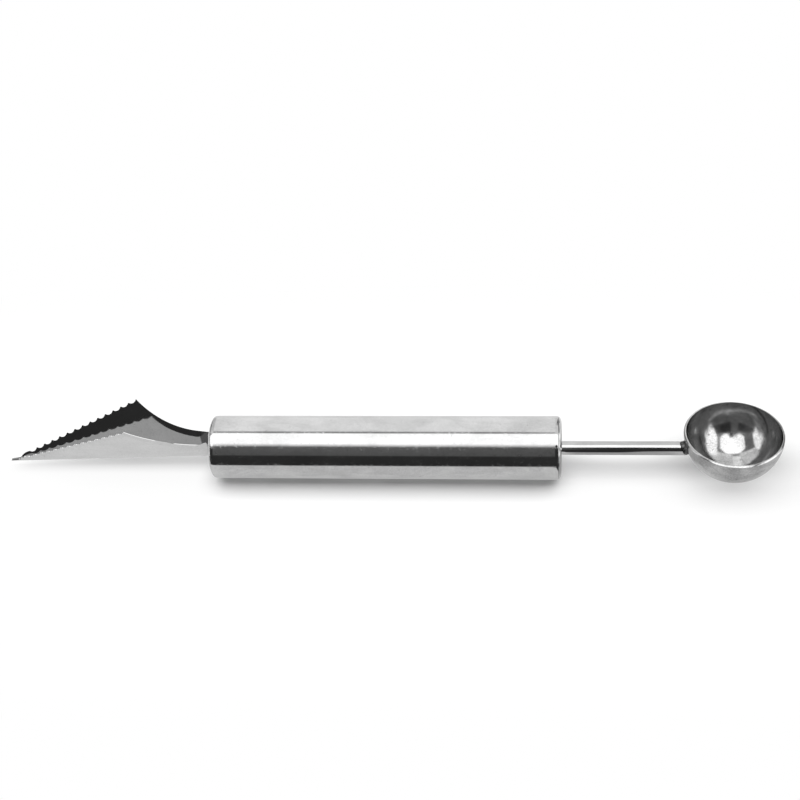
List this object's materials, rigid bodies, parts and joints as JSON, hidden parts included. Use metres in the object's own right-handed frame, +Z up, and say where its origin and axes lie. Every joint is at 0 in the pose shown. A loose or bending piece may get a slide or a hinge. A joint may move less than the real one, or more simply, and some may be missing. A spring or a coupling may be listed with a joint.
{
  "type": "melon baller",
  "caption": "Double-ended steel fruit tool: a hemispherical scoop on a rod, a hollow round handle and a folded V-shaped carving blade with scalloped edges.",
  "frame": {"origin": "middle of the round handle, on its axis", "axes": "+X along the handle towards the scoop, +Z up out of the bowl's mouth, +Y to the left when looking along +X"},
  "size_m": [0.2229, 0.0274, 0.0202],
  "materials": {
    "handle_steel": "polished",
    "cap_steel": "polished",
    "rod_steel": "polished",
    "bowl_steel": "polished",
    "blade_steel": "polished",
    "weld_metal": "rough, unpolished weld"
  },
  "bodies": {
    "root": {"handle_tube": "handle_steel", "scoop_end_cap": "cap_steel", "blade_end_cap": "cap_steel", "scoop_rod": "rod_steel", "rod_weld": "weld_metal", "scoop_bowl": "bowl_steel", "bowl_weld": "weld_metal", "carving_blade": "blade_steel", "blade_weld": "weld_metal"}
  },
  "joints": []
}
